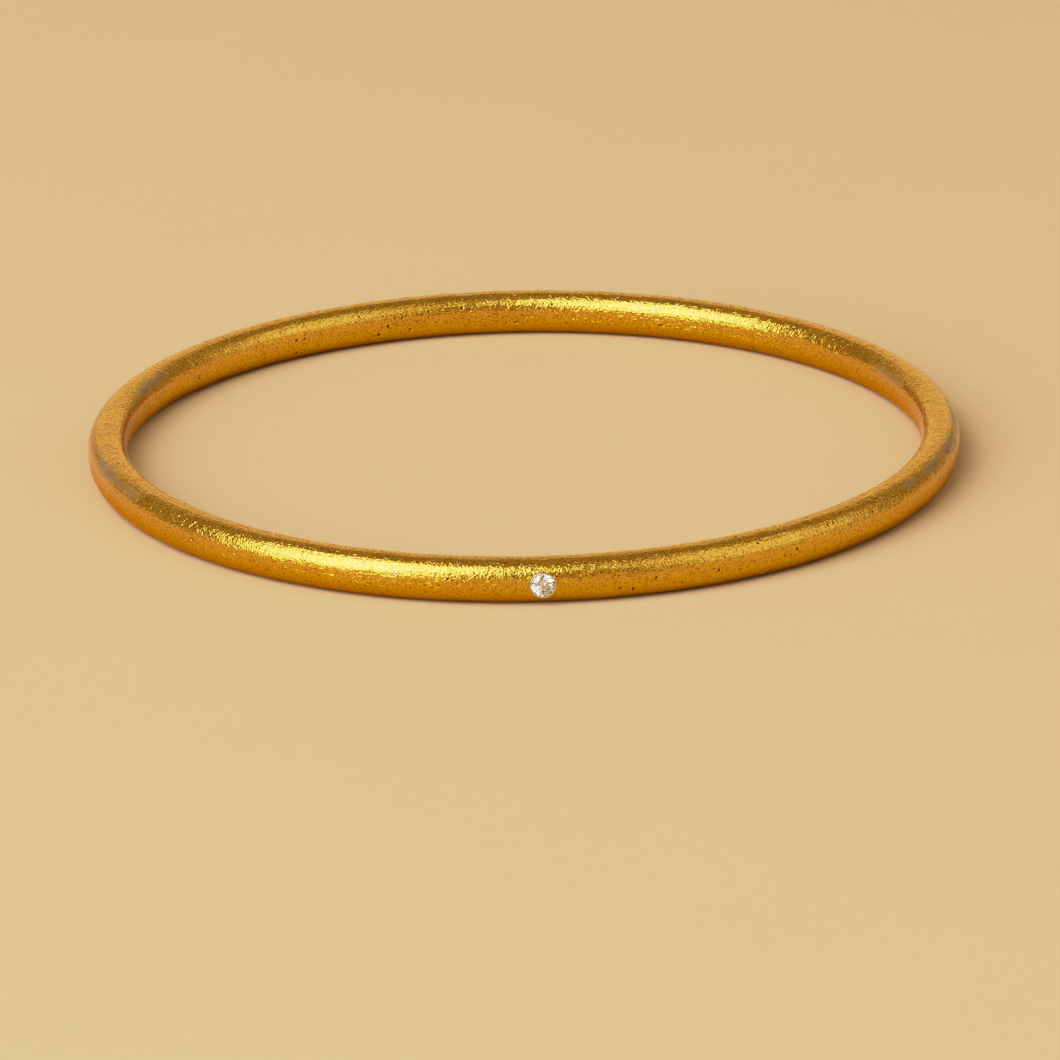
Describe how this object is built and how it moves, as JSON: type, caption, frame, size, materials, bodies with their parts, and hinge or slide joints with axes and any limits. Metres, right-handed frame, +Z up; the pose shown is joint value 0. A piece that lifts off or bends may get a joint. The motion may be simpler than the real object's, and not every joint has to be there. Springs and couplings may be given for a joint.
{
  "type": "bangle bracelet",
  "caption": "Closed wire bangle bracelet in satin gold, of rounded upright section, with a small round brilliant in a thin collet set flush in its outer side.",
  "frame": {"origin": "on the table, under the centre of the ring as it lies flat", "axes": "+Z up along the ring's axis; the stone is in the ring's outer side and looks along -Y"},
  "size_m": [0.068, 0.0681, 0.0033],
  "materials": {
    "gold": "deep yellow gold, satin, finely crinkled and pitted",
    "white_metal": "pale grey-white metal, burnished",
    "clear_stone": "clear, polished facets"
  },
  "bodies": {
    "root": {"bangle_ring": "gold", "stone_collet": "white_metal", "brilliant_stone": "clear_stone"}
  },
  "joints": []
}
